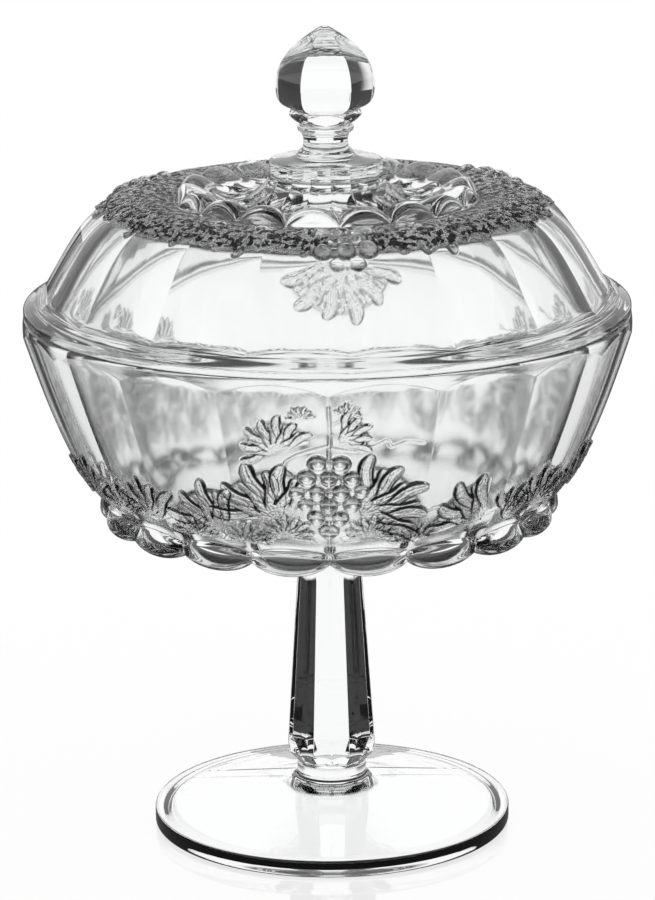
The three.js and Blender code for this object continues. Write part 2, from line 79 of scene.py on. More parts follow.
BAND_FLARE = 0.13
BAND_DEPTH = 5.3
BOWL_WALL = 4.4
BASE_RADIUS = 76.0
BASE_Z = BOWL_Z + 21.3
WALL_LEAN_AT_BASE = 54.0
WALL_LEAN_AT_TOP = 17.8
FLOOR_Z = BOWL_Z + 17.0
CUSP_Z = BASE_Z - 3.4
LOBE_REACH = 3.6
LOBE_HANG = 4.9
LOBE_RISE = 2.4
LOBE_INSET = 4.0
LOBE_BACK = 10.0
COVER_TURN = 4.6
COVER_WALL = 3.6
FLANGE_Z = RIM_Z + 0.05
FLANGE_ROUND = 1.0
SHOULDER = (99.8, RIM_Z + 5.8)
SHOULDER_HEADING = 140
DOME_FOOT = (96.5, RIM_Z + 9.5)
DOME_TOP = (62.0, RIM_Z + 39.4)
DOME_LEAN = 30.0
LIP_DEPTH = 2.4
LIP_WIDTH = 3.4
LIP_ROUND = 1.0
LIP_CLEARANCE = 0.9
CEILING_Z = RIM_Z + 34.8
CEILING_JOINT = 0.66
CROWN_RADIUS = 47.6
CROWN_FOOT = (51.6, RIM_Z + 38.0)
CROWN_CUSP_Z = RIM_Z + 40.3
CROWN_PEAK_Z = RIM_Z + 44.7
TROUGH = (33.0, RIM_Z + 38.9)
FLUTE_DEPTH = 2.2
COLLAR_RADIUS = 19.4
COLLAR_ROUND = 0.8
COLLAR_LOW_Z = RIM_Z + 48.4
COLLAR_HIGH_Z = RIM_Z + 52.4
FINIAL_SIDES = 6
FINIAL_TURN = -3.6
FINIAL_Z = RIM_Z + 53.7

# The finial's profile, with heights from FINIAL_Z. The bead has a middle and half sizes.
STALK_FOOT = (9.7, 0.5)
STALK_WAIST = (7.5, 4.4)
STALK_TOP = (8.2, 7.6)
BEAD = ((8.3, 9.4), (1.3, 1.4))
RUFF_FOOT = (8.6, 11.0)
RUFF_LIP = (12.3, 14.4)
RUFF_TOP = (11.8, 15.7)
RUFF_SCALLOP = 0.8
BUD_FOOT = (11.9, 15.9)
BUD_WIDEST = (16.8, 23.6)
BUD_TIP = (0.9, 44.2)
BUD_FLATNESS = 0.93
BUD_POLE = 44.1

# Columns round each part of a skin, and rows up the parts with the finest relief.
FOOT_COLUMNS = 720
STEM_COLUMNS = 720
PLAIN_COLUMNS = 720
RELIEF_COLUMNS = 1800
INNER_COLUMNS = 360
WALL_ROWS = 190
DOME_ROW_PITCH = 0.34


def sweep(start, start_angle, start_handle, end, end_angle, end_handle, steps):
    """Points of a Bezier curve in the (radius, height) plane. Angles are degrees from level."""
    def step(angle, length):
        a = math.radians(angle)
        return np.array([length * math.cos(a), length * math.sin(a)])

    p0, p3 = np.array(start, float), np.array(end, float)
    p1, p2 = p0 + step(start_angle, start_handle), p3 - step(end_angle, end_handle)
    t = np.linspace(0, 1, steps + 1)[:, None]
    return (1 - t) ** 3 * p0 + 3 * (1 - t) ** 2 * t * p1 + 3 * (1 - t) * t * t * p2 + t ** 3 * p3


def portions(steps):
    """The ends of equal steps from 0 to 1."""
    return np.linspace(0, 1, steps + 1)[1:]


def smoothstep(low, high, x):
    t = np.clip((x - low) / (high - low), 0, 1)
    return t * t * (3 - 2 * t)


def hump(x, middle, width):
    return np.exp(-((x - middle) / width) ** 2)


def azimuths(columns, turn=0.0):
    return turn + np.arange(columns) * 360 / columns


# What the skins carry for the glass: a grain, painted shade as a dark tint on the edges of the
# relief, and waves on inner faces.
MARKS = ("grained", "painted_shade", "wavy")


class Skin:
    """A closed skin of rings, from a pole on the axis to another pole on the axis.

    columns, turn and wavy hold for the rings that come next. A ring takes its radius and height
    as numbers, or as arrays over its columns.
    """

    def __init__(self):
        self.points = []
        self.faces = []
        self.marks = []
        self.count = 0
        self.last = None
        self.columns = 0
        self.turn = 0.0
        self.wavy = 0.0

    def _add(self, points):
        start = self.count
        self.points.append(points)
        self.count += len(points)
        self.marks.append(("wavy", start, np.full(len(points), self.wavy)))
        return np.arange(start, self.count)

    def _fan(self, first, second, pole):
        self.faces.append(np.stack([first, second, np.full_like(first, pole)], 1))

    def _join(self, low, low_azimuth, high, high_azimuth):
        if len(low) == len(high):
            self.faces.append(np.stack([low, np.roll(low, -1), np.roll(high, -1), high], 1))
            return
        n, m = len(low), len(high)
        next_low = np.append(low_azimuth, low_azimuth[0] + 360)
        next_high = np.append(high_azimuth, high_azimuth[0] + 360)
        i = j = 0
        faces = []
        while i < n or j < m:
            if j == m or (i < n and next_low[i + 1] <= next_high[j + 1] + 1e-9):
                faces.append((low[i], low[(i + 1) % n], high[j % m]))
                i += 1
            else:
                faces.append((low[i % n], high[(j + 1) % m], high[j]))
                j += 1
        self.faces.append(np.array(faces))

    def pole(self, height):
        index = self._add(np.array([[0.0, 0.0, height]]))[0]
        if self.last is None:
            self.start_pole = index
        else:
            ring, _ = self.last
            self._fan(ring, np.roll(ring, -1), index)

    def ring(self, radius, height):
        azimuth = azimuths(self.columns, self.turn)
        a = np.radians(azimuth)
        radius, height = np.broadcast_to(radius, a.shape), np.broadcast_to(height, a.shape)
        ring = self._add(np.stack([radius * np.sin(a), -radius * np.cos(a), height], 1))
        if self.last is None:
            self._fan(np.roll(ring, -1), ring, self.start_pole)
        else:
            self._join(*self.last, ring, azimuth)
        self.last = (ring, azimuth)

    def rings(self, profile):
        for radius, height in profile:
            self.ring(radius, height)

    def bend(self, middle, size, angles):
        """Rings along an arc of an ellipse, by angles from straight out over straight up."""
        (radius, height), (across, up) = middle, size
        for a in np.radians(angles):
            self.ring(radius + across * math.cos(a), height + up * math.sin(a))

    def mark(self, name, amounts):
        """Marks the points of the rings that come next, with a row of amounts to a ring."""
        self.marks.append((name, self.count, amounts.ravel()))

    def mesh(self, name):
        points = np.concatenate(self.points) * MM
        corners = np.concatenate([f.ravel() for f in self.faces])
        totals = np.concatenate([np.full(len(f), f.shape[1]) for f in self.faces])
        starts = np.concatenate([[0], np.cumsum(totals)[:-1]])
        mesh = bpy.data.meshes.new(name)
        mesh.vertices.add(len(points))
        mesh.vertices.foreach_set("co", points.ravel())
        mesh.loops.add(len(corners))
        mesh.loops.foreach_set("vertex_index", corners.astype(np.int32))
        mesh.polygons.add(len(totals))
        mesh.polygons.foreach_set("loop_start", starts.astype(np.int32))
        mesh.polygons.foreach_set("use_smooth", np.ones(len(totals), bool))
        mesh.update(calc_edges=True)
        mesh.validate()
        for wanted in MARKS:
            values = np.zeros(len(points))
            for mark, start, amounts in self.marks:
                if mark == wanted:
                    values[start:start + len(amounts)] = amounts
            mesh.attributes.new(wanted, "FLOAT", "POINT").data.foreach_set("value", values)
        return mesh


def flat_factor(azimuth, sides, first_ridge=0.0):
    """How far in a flat lies between its ridges, as a share of the ridges' radius."""
    half = 180 / sides
    from_middle = (azimuth - first_ridge) % (2 * half) - half
    return math.cos(math.radians(half)) / np.cos(np.radians(from_middle))


def flattened(radius, share, amount):
    """A radius from round, at an amount of 0, to drawn in to this share of it, at 1."""
    return radius * (1 + amount * (share - 1))


def swelling(azimuth, fullness=0.97):
    """0 on a panel's ridges, rising in a round arc to 1 in its middle."""
    half = 180 / PANELS
    across = (azimuth % (2 * half) - half) / half * fullness
    floor = math.sqrt(1 - fullness ** 2)
    return (np.sqrt(1 - across ** 2) - floor) / (1 - floor)


def scallops(azimuth, sides):
    """SCALLOP_END in the middle of each side, rising in a round arc to 1 on the ridges."""
    half = 180 / sides
    from_ridge = azimuth % (2 * half) / half - 1
    return np.sqrt(1 - (1 - SCALLOP_END ** 2) * from_ridge ** 2)


def normals(curve):
    """Unit vectors to the right of a curve, which is outwards on the way up."""
    ahead = np.gradient(curve, axis=0)
    ahead /= np.linalg.norm(ahead, axis=1)[:, None]
    return np.stack([ahead[:, 1], -ahead[:, 0]], 1)


def lengths_along(curve):
    return np.append(0, np.cumsum(np.linalg.norm(np.diff(curve, axis=0), axis=1)))


def beside(curve, distance):
    """The curve moved to its left, with the radius first drawn in to the middle of a flat."""
    drawn = curve * (math.cos(math.radians(180 / PANELS)), 1)
    return drawn - normals(curve) * distance


def band_radius(z):
    return RIM_RADIUS + BAND_FLARE * (RIM_Z - z)


# The ridges of the bowl's panels, finely sampled, and the inner face beside them.
WALL_CORNER = (band_radius(RIM_Z - BAND_DEPTH), RIM_Z - BAND_DEPTH)
WALL = sweep((BASE_RADIUS, BASE_Z), 90 - WALL_LEAN_AT_BASE, 15,
             WALL_CORNER, 90 - WALL_LEAN_AT_TOP, 22, steps=200)
WALL_NORMAL = normals(WALL)
WALL_ARC = lengths_along(WALL)
INSIDE = beside(WALL, BOWL_WALL)
LEAN_TANGENT = math.tan(math.radians(WALL_LEAN_AT_TOP))
MOUTH_RADIUS = INSIDE[-1, 0] + (RIM_Z - INSIDE[-1, 1]) * LEAN_TANGENT / 2
LIP_OUTER = MOUTH_RADIUS - LIP_CLEARANCE

# The ridges of the dome's panels, and the same carried on over its top to the foot of the crown.
DOME = sweep(DOME_FOOT, 90 + DOME_LEAN, 22, DOME_TOP, 180, 18, steps=200)
COVER_CURVE = np.concatenate([DOME, sweep(DOME_TOP, 180, 4, CROWN_FOOT, 190, 4, steps=40)[1:]])
COVER_NORMAL = normals(COVER_CURVE)
COVER_ARC = lengths_along(COVER_CURVE)


def on_wall(z, values):
    """A value that is given along WALL, at a height."""
    return np.interp(z, WALL[:, 1], values)


def on_cover(arc, pairs):
    """The two numbers of pairs that are given along COVER_CURVE, at an arc length."""
    return np.interp(arc, COVER_ARC, pairs[:, 0]), np.interp(arc, COVER_ARC, pairs[:, 1])


def arch_z(azimuth):
    """Where a panel's flat meets the band under the rim: arched, highest in the panel's middle."""
    share = flat_factor(azimuth, PANELS)
    corner_radius, corner_z = WALL_CORNER
    rise = corner_radius * (1 - share) / (share * LEAN_TANGENT + BAND_FLARE)
    return corner_z + rise


# Raised ornament, the same in each third of the way round: bunches of grapes, vine leaves and
# tendrils, as the height of the skin over a grid of azimuth and arc length.
THIRD = 120.0
SEAM_RISE = 0.14
SEAM_WIDTH = 0.35
TENDRIL_RADIUS = math.sqrt(0.324)
TENDRIL_RISE = 1.1
TENDRIL_SMOOTHING = 20
BERRY_RADIUS = 3.3
SMALL_BERRY_RADIUS = 0.68 * BERRY_RADIUS
BERRY_SINK = 0.8
BERRY_SPACING = 7.2
BERRY_ROW_PITCH = 5.5
BERRY_STRAY = 0.6
BERRY_SIZES = (0.95, 1.15)
# Painted shade on each berry, darker towards its rim, between these shares of its radius.
BERRY_PAINTED_SHADE = (0.66, 0.9)
# A leaf is a low blade under a fan of veined fingers with raised rims, and painted shade: dark
# outlines round the blade and along the fingers, tinted into the glass. Limits and places are
# shares:
# of the blade's reach and half angle, of a finger's length, and of its half width. Widths of the
# rib and spacings of the veins are millimetres.
LEAF_RISE = 1.1
LEAF_GRAIN = (0.1, 0.4)
LEAF_FINGER_ANGLE = 28
BLADE_REACH = 0.78
BLADE_RISE = 0.5
BLADE_END = (1.06, 0.94)
BLADE_SIDE = (1.08, 0.96)
BLADE_PAINTED_OUTLINE = 0.07
BLADE_PAINTED_SHADE = 0.8
FINGER_REACHES = (1, 0.8, 0.92, 0.76)
FINGER_WIDTH = 0.1
FINGER_SWAY = 0.05
FINGER_ROOT = 0.35
FINGER_WIDENS = (0.1, 0.65)
FINGER_TIP = 0.82
FINGER_EDGE = (1.12, 0.95)
FINGER_RISE = 0.55
RIM_PLACE = 0.75
RIM_WIDTH = 0.22
RIM_RISE = 0.45
RIB_WIDTH = 0.4
RIB_RISE = 0.2
VEIN_SPACING = 2.1
VEIN_SLANT = 0.9
VEIN_DEPTH = 0.15
PAINTED_OUTLINE_PLACE = 0.96
PAINTED_OUTLINE_WIDTH = 0.2
PAINTED_OUTLINE_GAIN = 3.0
PAINTED_OUTLINE_FROM = 0.3
PAINTED_OUTLINE_CLEARS = 0.9


class Relief:
    """Heights over a grid: azimuth, the arc length up or out, and the radius at each point."""

    def __init__(self, azimuth, arc, radius, seed):
        self.azimuth = np.broadcast_to(azimuth, arc.shape)
        self.arc = arc
        self.radius = radius
        self.height = np.zeros(arc.shape)
        self.grained = np.zeros(arc.shape)
        self.painted_shade = np.zeros(arc.shape)
        self.random = np.random.default_rng(seed)

    def around(self, azimuth, arc):
        """Distances along and up from a point, in millimetres."""
        turned = (self.azimuth - azimuth + THIRD / 2) % THIRD - THIRD / 2
        return np.radians(turned) * self.radius, self.arc - arc

    def leaf(self, azimuth, arc, length, first, last):
        """A fan of fingers between two headings, clockwise from straight up."""
        u, v = self.around(azimuth, arc)
        near = np.hypot(u, v) < length * 1.1
        u, v = u[near], v[near]
        away = np.hypot(u, v) / (BLADE_REACH * length)
        heading = np.degrees(np.arctan2(u, v))
        middle, half = (first + last) / 2, (last - first) / 2 + LEAF_FINGER_ANGLE / 4
        aside = np.abs((heading - middle + 180) % 360 - 180) / half
        blade = smoothstep(*BLADE_END, away) * smoothstep(*BLADE_SIDE, aside)
        height = BLADE_RISE * LEAF_RISE * blade
        # Painted shade: a dark line tinted round the edge of the blade.
        painted_shade = BLADE_PAINTED_SHADE * hump(away, 1, BLADE_PAINTED_OUTLINE) * (aside < 1)
        fingers = 2 * round((last - first) / LEAF_FINGER_ANGLE)
        for i in range(fingers + 1):
            heading = math.radians(first + (last - first) * i / fingers)
            along = u * math.sin(heading) + v * math.cos(heading)
            across = u * math.cos(heading) - v * math.sin(heading)
            t = np.clip(along / (length * FINGER_REACHES[i % 4]), 0, 1)
            sway = FINGER_SWAY * length * np.sin(2 * math.pi * t)
            across = across + (sway if i % 2 else -sway)
            beyond = np.clip((t - FINGER_TIP) / (1 - FINGER_TIP), 0, 1)
            blunt = np.sqrt(np.clip(1 - beyond ** 2, 0, 1))
            widened = FINGER_ROOT + (1 - FINGER_ROOT) * smoothstep(*FINGER_WIDENS, t)
            ratio = np.abs(across) / (FINGER_WIDTH * length * widened * blunt + 1e-6)
            rim = hump(ratio, RIM_PLACE, RIM_WIDTH)
            rib = hump(across, 0, RIB_WIDTH)
            slant = along - VEIN_SLANT * np.abs(across)
            vein = 0.5 - 0.5 * np.cos(2 * math.pi * slant / VEIN_SPACING)
            finger = LEAF_RISE * (FINGER_RISE + RIM_RISE * rim + RIB_RISE * rib
                                  - VEIN_DEPTH * vein * (1 - rib) * (1 - rim))
            finger *= smoothstep(*FINGER_EDGE, ratio) * (t > 0) * (t < 1)
            height = np.maximum(height, finger)
            # Painted shade: dark outlines tinted along the fingers' edges, clearing the blade's
            # line inside them.
            painted_outline = PAINTED_OUTLINE_GAIN * hump(ratio, PAINTED_OUTLINE_PLACE, PAINTED_OUTLINE_WIDTH)
            painted_outline *= (t > PAINTED_OUTLINE_FROM) * (t < 1)
            painted_shade = np.maximum(painted_shade * (ratio > PAINTED_OUTLINE_CLEARS), painted_outline)
        grained = smoothstep(*LEAF_GRAIN, height / LEAF_RISE)
        self.height[near] = np.maximum(self.height[near], height)
        self.grained[near] = np.maximum(self.grained[near], grained)
        self.painted_shade[near] = np.maximum(self.painted_shade[near], np.clip(painted_shade, 0, 1))

    def tendril(self, points):
        """A thin stem through a few points of (azimuth, arc)."""
        points = np.array(points, float)
        fine = np.linspace(0, len(points) - 1, 24 * len(points))
        azimuth = np.interp(fine, np.arange(len(points)), points[:, 0])
        arc = np.interp(fine, np.arange(len(points)), points[:, 1])
        for _ in range(TENDRIL_SMOOTHING):
            azimuth[1:-1] = (azimuth[:-2] + 2 * azimuth[1:-1] + azimuth[2:]) / 4
            arc[1:-1] = (arc[:-2] + 2 * arc[1:-1] + arc[2:]) / 4
        for one, other in zip(azimuth, arc):
            u, v = self.around(one, other)
            bead = np.sqrt(np.clip(TENDRIL_RADIUS ** 2 - u * u - v * v, 0, None))
            self.height = np.maximum(self.height, bead * TENDRIL_RISE)

    def berry(self, azimuth, arc, radius):
        u, v = self.around(azimuth, arc)
        away = np.hypot(u, v)
        ball = np.sqrt(np.clip(radius ** 2 - away ** 2, 0, None)) - BERRY_SINK
        rises = (away < radius) & (ball > self.height)
        self.height = np.where(rises, ball, self.height)
        self.grained = np.where(rises, 0, self.grained)
        # Painted shade: each berry is tinted darker towards its rim.
        self.painted_shade = np.where(rises, smoothstep(*BERRY_PAINTED_SHADE, away / radius), self.painted_shade)

    def bunch(self, top, rows, radius_there):
        """Rows of berries that hang down from the stalk, with smaller ones in the gaps."""
        spots = []
        for row, count in enumerate(rows):
            down = row * BERRY_ROW_PITCH
            for i in range(count):
                spots.append(((i - (count - 1) / 2) * BERRY_SPACING, down, BERRY_RADIUS))
                if i:
                    spots.append(((i - count / 2) * BERRY_SPACING, down, SMALL_BERRY_RADIUS))
        for across, down, radius in spots:
            across += self.random.uniform(-BERRY_STRAY, BERRY_STRAY)
            down += self.random.uniform(-BERRY_STRAY, BERRY_STRAY)
            radius *= self.random.uniform(*BERRY_SIZES)
            arc = top - down
            self.berry(math.degrees(across / radius_there(arc)), arc, radius)

    def stipple(self, amount):
        rough = self.random.uniform(-1, 1, self.height.shape)
        self.height = self.height + rough * amount * self.grained

    def seam(self):
        self.height = self.height + seam_rise(self.azimuth, self.radius)


def thirds(grid):
    return np.concatenate([grid, grid, grid], axis=1)


def seam_rise(azimuth, radius):
    """The fine raised line that the mould leaves in each third."""
    aside = np.radians((azimuth + THIRD / 2) % THIRD - THIRD / 2) * radius
    return SEAM_RISE * hump(aside, 0, SEAM_WIDTH)


def foot_rings(skin):
    """The hollow underside from its middle out, the ring it stands on, and the cone to the neck."""
    slope = math.tan(math.radians(FOOT_SLOPE))
    bevel_width, bevel_height = RECESS_BEVEL
    bevel = RECESS_RADIUS - bevel_width
    fall = math.degrees(math.atan2(bevel_height, bevel_width))
    skin.columns = FOOT_COLUMNS
    skin.rings(sweep((0, RECESS_DOME_Z + RECESS_DOME_RISE), 0, RECESS_DOME_FLAT,
                     (RECESS_DOME_RADIUS, RECESS_DOME_Z), -FOOT_SLOPE, RECESS_DOME_CORNER,
                     steps=30)[1:])
    for radius in np.linspace(RECESS_DOME_RADIUS, bevel, 26)[1:]:
        skin.ring(radius, bevel_height + (bevel - radius) * slope)
    skin.rings(sweep((bevel, bevel_height), -FOOT_SLOPE, 1, (RECESS_RADIUS, 0), -fall, 1,
                     steps=8)[1:])
    skin.ring((RECESS_RADIUS + FOOT_RADIUS) / 2, 0)

    cone = FOOT_RADIUS - FOOT_EDGE_ROUND
    edge = (FOOT_EDGE_ROUND, FOOT_EDGE_ROUND)
    skin.bend((cone, FOOT_EDGE_ROUND), edge, np.linspace(-90, 0, 7))
    skin.bend((cone, FOOT_EDGE_HEIGHT - FOOT_EDGE_ROUND), edge, np.linspace(0, 79, 7))
    fillet = NECK_RADIUS + NECK_FILLET
    for radius in np.linspace(cone, fillet, 26)[1:]:
        seam = seam_rise(azimuths(FOOT_COLUMNS), radius) / 2
        skin.ring(radius, FOOT_EDGE_HEIGHT + (cone - radius) * slope + seam)
    low = FOOT_EDGE_HEIGHT + (cone - fillet) * slope
    skin.rings(sweep((fillet, low), 180 - FOOT_SLOPE, 1.3, (NECK_RADIUS, low + NECK_FILLET), 90,
                     1.3, steps=10)[1:])


def stem_rings(skin):
    """The undercut, the shaft with its seams, and the way from its facets out to the bowl."""
    skin.columns = STEM_COLUMNS
    azimuth = azimuths(STEM_COLUMNS)
    half = 180 / STEM_SIDES
    facet = flat_factor(azimuth, STEM_SIDES, half) / (2 * math.cos(math.radians(half)))
    scallop = scallops(azimuth, STEM_SIDES)
    low, high = STEM_BOTTOM_FLATS * facet, STEM_TOP_FLATS * facet
    low_z = STEM_SHAFT_LOW + STEM_SCALLOP_LOW * (scallop - SCALLOP_END)
    high_z = STEM_SHAFT_HIGH + STEM_SCALLOP_HIGH * (scallop - 1)
    skin.ring(NECK_RADIUS, (FOOT_HEIGHT + UNDERCUT_Z) / 2)
    for share in np.linspace(0, 1, 9):
        skin.ring(NECK_RADIUS + (low - NECK_RADIUS) * share ** 1.25,
                  UNDERCUT_Z + (low_z - UNDERCUT_Z) * share)
    low, high = (radius + seam_rise(azimuth, radius) for radius in (low, high))
    for share in np.linspace(0.01, 1, 24):
        skin.ring(low + (high - low) * share, low_z + (high_z - low_z) * share)
    for share in portions(11):
        skin.ring(high + (CROWN_OF_STEM_RADIUS - high) * share ** 2,
                  high_z + (BOWL_Z - high_z) * share)


def lobe_rings(skin):
    """The bowl's underside and the ring of lobes, round to the crease over them."""
    under = sweep((CROWN_OF_STEM_RADIUS, BOWL_Z), 60, 8, (BASE_RADIUS - LOBE_BACK, CUSP_Z), 24, 40,
                  steps=34)
    skin.columns = PLAIN_COLUMNS
    skin.rings(under[1:-1])
    skin.columns = RELIEF_COLUMNS
    azimuth = azimuths(RELIEF_COLUMNS)
    swell = swelling(azimuth)
    middle, hang = (BASE_RADIUS - LOBE_INSET, CUSP_Z), swell * LOBE_HANG
    skin.bend(middle, (LOBE_BACK - LOBE_INSET, hang), np.arange(180, 270, 10))
    skin.bend(middle, (LOBE_INSET + swell * LOBE_REACH, hang), np.arange(270, 370, 10))
    crease_z = BASE_Z + swell * LOBE_RISE
    crease = on_wall(crease_z, WALL[:, 0]) * flat_factor(azimuth, PANELS)
    outer = BASE_RADIUS + swell * LOBE_REACH
    skin.bend((crease, CUSP_Z), (outer - crease, crease_z - CUSP_Z), 90 * portions(8))


def wall_rings(skin):
    """The panels as far up as their ornament goes."""
    skin.columns = RELIEF_COLUMNS
    azimuth = azimuths(RELIEF_COLUMNS)
    crease_z = BASE_Z + swelling(azimuth) * LOBE_RISE
    up = portions(WALL_ROWS)[:, None]
    z = crease_z + (RELIEF_TOP_Z - crease_z) * up
    third = RELIEF_COLUMNS // 3
    relief = bowl_relief(azimuth[:third], z[:, :third])
    height = thirds(relief.height) * smoothstep(0, BOWL_RELIEF_FADE, up)
    skin.mark("grained", thirds(relief.grained) * BOWL_GRAIN)
    # The painted shade of the relief, a dark tint for the glass.
    skin.mark("painted_shade", thirds(relief.painted_shade))
    radius = on_wall(z, WALL[:, 0]) * flat_factor(azimuth, PANELS)
    skin.rings(zip(radius + height * on_wall(z, WALL_NORMAL[:, 0]),
                   z + height * on_wall(z, WALL_NORMAL[:, 1])))


def rim_rings(skin):
    """The tops of the panels, the band they meet in arches, and the outer half of the rim."""
    skin.columns = PLAIN_COLUMNS
    azimuth = azimuths(PLAIN_COLUMNS)
    share = flat_factor(azimuth, PANELS)
    corner_radius, corner_z = WALL_CORNER
    arch = arch_z(azimuth)
    for t in portions(12):
        z = RELIEF_TOP_Z + (arch - RELIEF_TOP_Z) * t
        ridge = np.where(z > corner_z, corner_radius + (z - corner_z) * LEAN_TANGENT,
                         on_wall(z, WALL[:, 0]))
        skin.ring(ridge * share, z)
    for t in (0.06, 0.5, 1.0):
        z = arch + (RIM_Z - RIM_ROUND - arch) * t
        skin.ring(band_radius(z), z)
    skin.bend((RIM_RADIUS - RIM_ROUND, RIM_Z - RIM_ROUND), (RIM_ROUND, RIM_ROUND),
              (20, 40, 60, 80, 90))


def inside_rings(skin):
    """The inner half of the rim, the inner wall and the bowl's floor."""
    skin.columns = INNER_COLUMNS
    skin.wavy = 1.0
    skin.bend((MOUTH_RADIUS + RIM_ROUND, RIM_Z - RIM_ROUND), (RIM_ROUND, RIM_ROUND),
              (90, 110, 130, 150, 170))
    z = np.linspace(RIM_Z - RIM_ROUND, INSIDE[0, 1], 48)
    radius = np.interp(z, np.append(INSIDE[:, 1], RIM_Z), np.append(INSIDE[:, 0], MOUTH_RADIUS))
    skin.rings(zip(radius, z))
    floor = sweep((0, FLOOR_Z), 0, 49, INSIDE[0], 90 - WALL_LEAN_AT_BASE, 8, steps=40)
    skin.rings(floor[1:-1][::-1])


# The leaves on the bowl, as in the CAD: azimuth and distance up the ridges where each starts, its
# length, and the headings of its first and last finger. The small ones are only here.
BOWL_LEAVES = (
    (-9.7, 47.4, 13.5, -110, 60), (-11.2, 20, 24, -85, 40), (-24.8, 13, 21, -75, 20),
    (-43, 12, 18, -60, 40), (2.1, 51.7, 11.5, 15, 115), (7, 21.8, 24, 5, 125),
    (35.8, 13, 22, -90, -10), (54, 13, 17, -55, 55),
)
SMALL_BOWL_LEAVES = (
    (-5.1, 60, 5, -90, 80), (3.3, 61, 5, -60, 90), (-9.5, 12, 10, -110, 110),
    (9.5, 12, 10, -100, 110), (-19, 9, 9, -100, 100), (-32, 9, 10, -80, 90),
    (20, 8, 9, -90, 70), (44, 11, 15, -30, 50), (-54, 11, 13, -60, 60),
)
BOWL_TENDRILS = (
    ((0, 64), (0.3, 54), (0, 45)),
    ((0, 50), (-3, 48), (-6, 46), (-8.5, 43), (-9, 40), (-7.5, 38)),
    ((0, 49), (5, 47), (9, 49), (11, 51), (12, 48), (15, 50), (18, 49)),
    ((1, 58), (3, 60), (5, 64)),
    ((-11, 22), (-16, 27), (-20, 22), (-25, 14)),
    ((9, 22), (17, 18), (24, 22), (35, 13)),
    ((-25, 14), (-33, 20), (-39, 14), (-54, 12)),
    ((36, 14), (44, 20), (54, 13), (66, 12)),
)
BOWL_BUNCH_TOP = 42
BOWL_BUNCH_ROWS = (2, 3, 4, 3, 2, 1)
BOWL_STIPPLE = 0.07
BOWL_GRAIN = 0.35
# The share of the rows over which the relief fades in above the lobes, and where its rows end.
BOWL_RELIEF_FADE = 0.03
RELIEF_TOP_Z = 177.0


def bowl_relief(azimuth, z):
    relief = Relief(azimuth, on_wall(z, WALL_ARC), on_wall(z, WALL[:, 0]), seed=3)
    for leaf in BOWL_LEAVES + SMALL_BOWL_LEAVES:
        relief.leaf(*leaf)
    for points in BOWL_TENDRILS:
        relief.tendril(points)
    relief.stipple(BOWL_STIPPLE)
    relief.bunch(BOWL_BUNCH_TOP, BOWL_BUNCH_ROWS, lambda arc: np.interp(arc, WALL_ARC, WALL[:, 0]))
    relief.seam()
    return relief


def make_footed_bowl():
    skin = Skin()
    skin.pole(RECESS_DOME_Z + RECESS_DOME_RISE)
    foot_rings(skin)
    stem_rings(skin)
    lobe_rings(skin)
    wall_rings(skin)
    rim_rings(skin)
    inside_rings(skin)
    skin.pole(FLOOR_Z)
    return skin.mesh("footed_bowl_glass")


def hollow_rings(skin):
    """From the ceiling's middle down the hollow of the dome, and round the locating lip."""
    skin.columns = INNER_COLUMNS
    inner = beside(DOME, COVER_WALL)
    joint = int(len(inner) * CEILING_JOINT)
    ceiling = sweep(inner[joint], 150, COVER_WALL, (0, CEILING_Z), 180, 33, steps=30)
    skin.rings(ceiling[1:-1][::-1])
    skin.rings(inner[:joint:6][::-1])
    skin.rings(sweep(inner[0], -60, 3, (LIP_OUTER - LIP_WIDTH, RIM_Z + 1), -90, 3, steps=8)[1:])
    skin.bend((LIP_OUTER - LIP_WIDTH / 2, RIM_Z - LIP_DEPTH + LIP_ROUND),
              (LIP_WIDTH / 2, LIP_ROUND), np.linspace(180, 360, 13))


def flange_rings(skin):
    """The seat beside the lip, the flange and its shoulder, and the flare to the dome's foot."""
    skin.columns = PLAIN_COLUMNS
    share = flat_factor(azimuths(PLAIN_COLUMNS), PANELS)
    skin.rings(((LIP_OUTER, RIM_Z - 0.4), (LIP_OUTER + 0.4, FLANGE_Z)))
    skin.bend((RIM_RADIUS - FLANGE_ROUND, FLANGE_Z + FLANGE_ROUND), (FLANGE_ROUND, FLANGE_ROUND),
              np.linspace(-90, 0, 6))
    skin.rings(sweep((RIM_RADIUS, RIM_Z + 2.2), 90, 1.6, SHOULDER, SHOULDER_HEADING, 2.4,
                     steps=12))
    flare = sweep(SHOULDER, SHOULDER_HEADING, 1.6, DOME_FOOT, 90 + DOME_LEAN, 2, steps=6)
    for t, (radius, z) in zip(np.linspace(0, 1, 7), flare):
        skin.ring(flattened(radius, share, smoothstep(-0.4, 0.8, t)), z)


# The leaves on the cover, as those on the bowl but with distances up from the foot of the dome.
# The hanging one is in the CAD, and the others lie where the CAD has one jagged sheet.
COVER_LEAVES = (
    (-2, 28, 22, 110, 250),
    (-11, 47, 16, 120, 260), (-19, 49, 16, 110, 240), (-29, 49, 20, 120, 250),
    (-40, 50, 17, 110, 250), (-50, 49, 19, 110, 240), (8, 48, 17, 100, 240),
    (16, 49, 20, 110, 240), (25, 49, 21, 120, 250), (36, 50, 18, 110, 250),
    (46, 49, 16, 110, 250), (57, 49, 19, 120, 240),
)
GARLAND_TOP = 46.0
GARLAND_SHEET = 0.7
GARLAND_FADE = (26, 33)
COVER_BUNCH_TOP = 44
COVER_BUNCH_ROWS = (3, 2, 3, 2)
COVER_STIPPLE = 0.16
# The share of the leaves' painted shade that the cover keeps.
COVER_LEAF_PAINTED_SHADE = 0.6
# How far up the dome its ornament starts, over what length it fades in and out, and over which
# shares of the whole way the flats give way to a round top.
COVER_PLAIN_ARC = 3.0
COVER_FADE = 1.5
DOME_ROUNDS_OFF = (0.55, 0.8)


